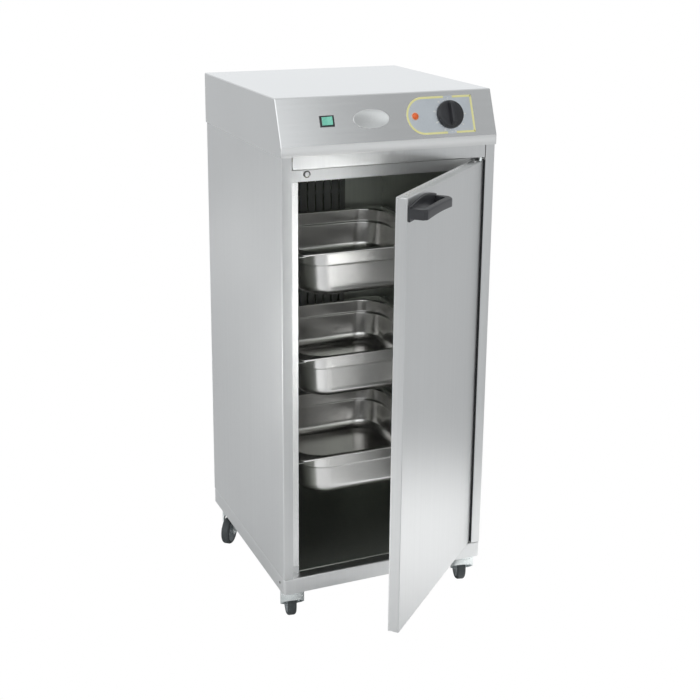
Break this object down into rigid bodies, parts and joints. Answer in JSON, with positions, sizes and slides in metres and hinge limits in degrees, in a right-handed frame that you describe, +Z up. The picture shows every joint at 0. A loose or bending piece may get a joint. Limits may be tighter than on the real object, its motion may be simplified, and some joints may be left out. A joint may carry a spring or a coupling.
{
  "type": "hostess trolley",
  "caption": "Heated steel hostess trolley: an insulated cabinet on swivel casters with a hinged door, deep pans on runners and a sloping control fascia",
  "frame": {"origin": "on the floor, under the middle of the cabinet", "axes": "+Z up, +X to the right as the door is faced, the front towards -Y"},
  "size_m": [0.4554, 0.7594, 1.057],
  "materials": {
    "steel_panel": "fine grain, satin",
    "bright_steel": "bright, drawn",
    "chamber_steel": "dull, darkened",
    "zinc": "zinc plated",
    "aluminium": "cast",
    "foil": "printed plate, satin",
    "insulation": "mineral wool",
    "element": "heat darkened",
    "motor": "satin",
    "black_plastic": "moulded",
    "white_plastic": "moulded",
    "green_lens": "translucent",
    "orange_lens": "translucent",
    "magnet": "sintered",
    "wheel_grey": "moulded",
    "tyre": "smooth tread"
  },
  "bodies": {
    "cabinet": {"base_frame": "steel_panel", "left_side_panel": "steel_panel", "right_side_panel": "steel_panel", "rear_panel": "steel_panel", "top_rail": "steel_panel", "stop_rail": "steel_panel", "left_jamb": "bright_steel", "right_jamb": "bright_steel", "left_liner": "chamber_steel", "right_liner": "chamber_steel", "rear_liner": "chamber_steel", "liner_roof": "chamber_steel", "liner_floor": "chamber_steel", "duct_cover": "chamber_steel", "pan_runners": "chamber_steel", "pan_top": "bright_steel", "pan_middle": "bright_steel", "pan_bottom": "bright_steel", "hood": "steel_panel", "hood_screws": "bright_steel", "wall_insulation": "insulation", "heating_element": "element", "fan_motor": "motor", "thermostat": "white_plastic", "switch_housing": "black_plastic", "indicator_lamp": "orange_lens", "dial_plate": "foil", "badge_plate": "aluminium", "cable_gland": "black_plastic", "catch_magnet": "magnet", "hinge_plates": "zinc", "caster_studs": "zinc"},
    "door": {"door_skin": "steel_panel", "door_liner": "steel_panel", "door_insulation": "insulation", "hinge_pins": "zinc", "door_handle": "black_plastic", "handle_screws": "bright_steel", "edge_screws": "bright_steel", "catch_strike": "bright_steel"},
    "knob": {"control_knob": "black_plastic", "knob_spindle": "bright_steel"},
    "rocker": {"switch_rocker": "green_lens"},
    "impeller": {"fan_impeller": "aluminium"},
    "swivel_front_left": {"fork_front_left": "zinc", "axle_front_left": "zinc"},
    "roll_front_left": {"wheel_front_left": "wheel_grey", "tyre_front_left": "tyre"},
    "swivel_front_right": {"fork_front_right": "zinc", "axle_front_right": "zinc"},
    "roll_front_right": {"wheel_front_right": "wheel_grey", "tyre_front_right": "tyre"},
    "swivel_rear_left": {"fork_rear_left": "zinc", "axle_rear_left": "zinc"},
    "roll_rear_left": {"wheel_rear_left": "wheel_grey", "tyre_rear_left": "tyre"},
    "swivel_rear_right": {"fork_rear_right": "zinc", "axle_rear_right": "zinc"},
    "roll_rear_right": {"wheel_rear_right": "wheel_grey", "tyre_rear_right": "tyre"}
  },
  "joints": [
    {"name": "door_swing", "type": "hinge", "parent": "cabinet", "child": "door", "pos_m": [0.1917, -0.2262, 0.505], "axis": [0, 0, 1], "range_deg": [-42.3, 67.7]},
    {"name": "knob_turn", "type": "hinge", "parent": "cabinet", "child": "knob", "pos_m": [0.1265, -0.21708, 1.01302], "axis": [0, -0.9322, 0.3619], "range_deg": [-270, 0]},
    {"name": "rocker_tilt", "type": "hinge", "parent": "cabinet", "child": "rocker", "pos_m": [-0.126, -0.21596, 1.01258], "axis": [0, 0.3619, 0.9322], "range_deg": [0, 18]},
    {"name": "fan_spin", "type": "hinge", "parent": "cabinet", "child": "impeller", "pos_m": [0, 0.196, 0.495], "axis": [0, 1, 0], "continuous": true},
    {"name": "swivel_front_left", "type": "hinge", "parent": "cabinet", "child": "swivel_front_left", "pos_m": [-0.193, -0.206, 0.067], "axis": [0, 0, 1], "continuous": true},
    {"name": "roll_front_left", "type": "hinge", "parent": "swivel_front_left", "child": "roll_front_left", "pos_m": [-0.18804, -0.18048, 0.03], "axis": [-0.9816, 0.1908, 0], "continuous": true},
    {"name": "swivel_front_right", "type": "hinge", "parent": "cabinet", "child": "swivel_front_right", "pos_m": [0.193, -0.206, 0.067], "axis": [0, 0, 1], "continuous": true},
    {"name": "roll_front_right", "type": "hinge", "parent": "swivel_front_right", "child": "roll_front_right", "pos_m": [0.19973, -0.18089, 0.03], "axis": [-0.9659, 0.2588, 0], "continuous": true},
    {"name": "swivel_rear_left", "type": "hinge", "parent": "cabinet", "child": "swivel_rear_left", "pos_m": [-0.193, 0.177, 0.067], "axis": [0, 0, 1], "continuous": true},
    {"name": "roll_rear_left", "type": "hinge", "parent": "swivel_rear_left", "child": "roll_rear_left", "pos_m": [-0.20936, 0.15679, 0.03], "axis": [0.7771, -0.6293, 0], "continuous": true},
    {"name": "swivel_rear_right", "type": "hinge", "parent": "cabinet", "child": "swivel_rear_right", "pos_m": [0.193, 0.177, 0.067], "axis": [0, 0, 1], "continuous": true},
    {"name": "roll_rear_right", "type": "hinge", "parent": "swivel_rear_right", "child": "roll_rear_right", "pos_m": [0.20189, 0.15257, 0.03], "axis": [0.9397, 0.342, 0], "continuous": true}
  ]
}
